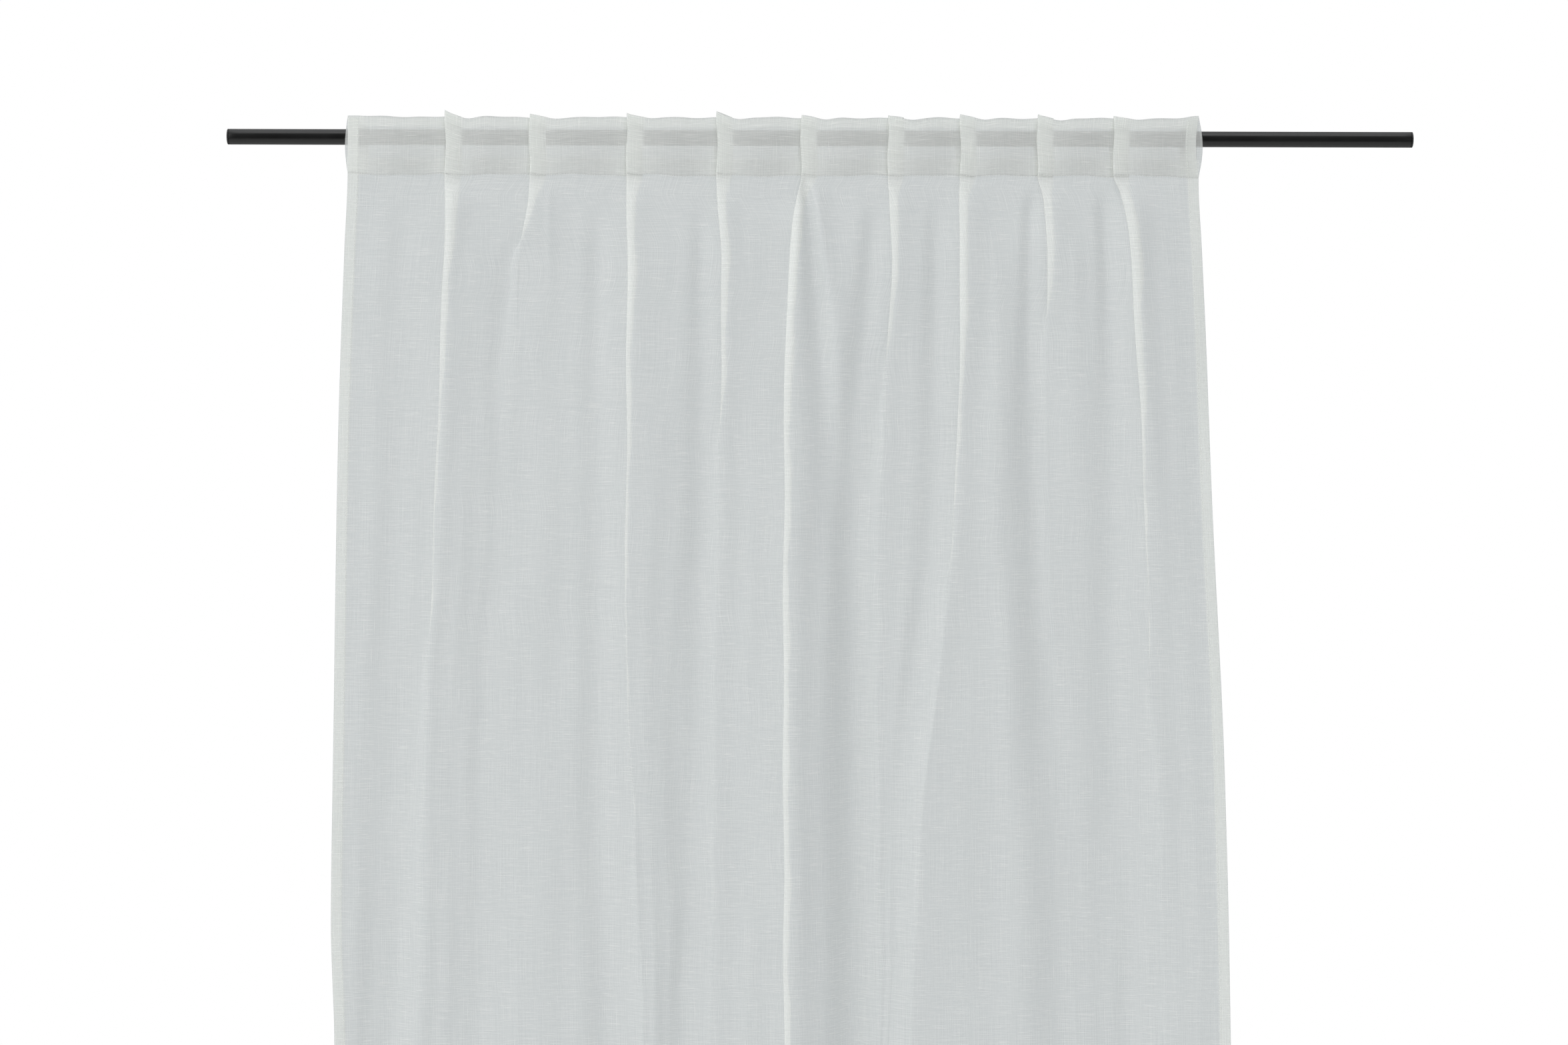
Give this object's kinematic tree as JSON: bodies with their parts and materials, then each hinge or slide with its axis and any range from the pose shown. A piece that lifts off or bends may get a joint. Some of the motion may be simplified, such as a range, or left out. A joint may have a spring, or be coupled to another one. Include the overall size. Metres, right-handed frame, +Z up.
{
  "type": "window curtains on a rod",
  "caption": "Sheer off-white slub-weave curtain panel with a pleated heading, hung by hidden back tabs on a plain round black rod; slides and gathers along it.",
  "frame": {"origin": "on the rod's axis, at the middle of the rod's length", "axes": "+X along the rod to the right as seen from the room, +Y from the room towards the window, +Z up"},
  "size_m": [1.525, 0.0549, 2.4],
  "materials": {
    "rod_steel": "matt black powder coat",
    "end_plug": "matt black",
    "curtain_voile": "sheer slub plain weave, off-white"
  },
  "bodies": {
    "rod": {"rod_tube": "rod_steel", "rod_end_plug_left": "end_plug", "rod_end_plug_right": "end_plug"},
    "section_01": {"heading_01": "curtain_voile", "panel_01": "curtain_voile", "bottom_hem_01": "curtain_voile", "hidden_tab_02": "curtain_voile", "hidden_tab_01": "curtain_voile", "side_hem_left": "curtain_voile"},
    "section_02": {"heading_02": "curtain_voile", "panel_02": "curtain_voile", "bottom_hem_02": "curtain_voile", "hidden_tab_03": "curtain_voile"},
    "section_03": {"heading_03": "curtain_voile", "panel_03": "curtain_voile", "bottom_hem_03": "curtain_voile", "hidden_tab_04": "curtain_voile"},
    "section_04": {"heading_04": "curtain_voile", "panel_04": "curtain_voile", "bottom_hem_04": "curtain_voile", "hidden_tab_05": "curtain_voile"},
    "section_05": {"heading_05": "curtain_voile", "panel_05": "curtain_voile", "bottom_hem_05": "curtain_voile", "hidden_tab_06": "curtain_voile"},
    "section_06": {"heading_06": "curtain_voile", "panel_06": "curtain_voile", "bottom_hem_06": "curtain_voile", "hidden_tab_07": "curtain_voile"},
    "section_07": {"heading_07": "curtain_voile", "panel_07": "curtain_voile", "bottom_hem_07": "curtain_voile", "hidden_tab_08": "curtain_voile"},
    "section_08": {"heading_08": "curtain_voile", "panel_08": "curtain_voile", "bottom_hem_08": "curtain_voile", "hidden_tab_09": "curtain_voile"},
    "section_09": {"heading_09": "curtain_voile", "panel_09": "curtain_voile", "bottom_hem_09": "curtain_voile", "hidden_tab_10": "curtain_voile"},
    "section_10": {"heading_10": "curtain_voile", "panel_10": "curtain_voile", "bottom_hem_10": "curtain_voile", "hidden_tab_11": "curtain_voile", "side_hem_right": "curtain_voile"}
  },
  "joints": [
    {"name": "curtain_slide", "type": "slide", "parent": "rod", "child": "section_01", "axis": [1, 0, 0], "range_m": [-0.15, 0.265]},
    {"name": "gather_02", "type": "slide", "parent": "section_01", "child": "section_02", "axis": [1, 0, 0], "range_m": [-0.067, 0]},
    {"name": "gather_03", "type": "slide", "parent": "section_02", "child": "section_03", "axis": [1, 0, 0], "range_m": [-0.082, 0]},
    {"name": "gather_04", "type": "slide", "parent": "section_03", "child": "section_04", "axis": [1, 0, 0], "range_m": [-0.073, 0]},
    {"name": "gather_05", "type": "slide", "parent": "section_04", "child": "section_05", "axis": [1, 0, 0], "range_m": [-0.067, 0]},
    {"name": "gather_06", "type": "slide", "parent": "section_05", "child": "section_06", "axis": [1, 0, 0], "range_m": [-0.069, 0]},
    {"name": "gather_07", "type": "slide", "parent": "section_06", "child": "section_07", "axis": [1, 0, 0], "range_m": [-0.05, 0]},
    {"name": "gather_08", "type": "slide", "parent": "section_07", "child": "section_08", "axis": [1, 0, 0], "range_m": [-0.058, 0]},
    {"name": "gather_09", "type": "slide", "parent": "section_08", "child": "section_09", "axis": [1, 0, 0], "range_m": [-0.055, 0]},
    {"name": "gather_10", "type": "slide", "parent": "section_09", "child": "section_10", "axis": [1, 0, 0], "range_m": [-0.049, 0]}
  ],
  "couplings": [
    {"joint": "gather_03", "follows": "gather_02", "ratio": 1.2239},
    {"joint": "gather_04", "follows": "gather_02", "ratio": 1.0896},
    {"joint": "gather_05", "follows": "gather_02", "ratio": 1},
    {"joint": "gather_06", "follows": "gather_02", "ratio": 1.0299},
    {"joint": "gather_07", "follows": "gather_02", "ratio": 0.74627},
    {"joint": "gather_08", "follows": "gather_02", "ratio": 0.86567},
    {"joint": "gather_09", "follows": "gather_02", "ratio": 0.8209},
    {"joint": "gather_10", "follows": "gather_02", "ratio": 0.73134}
  ]
}
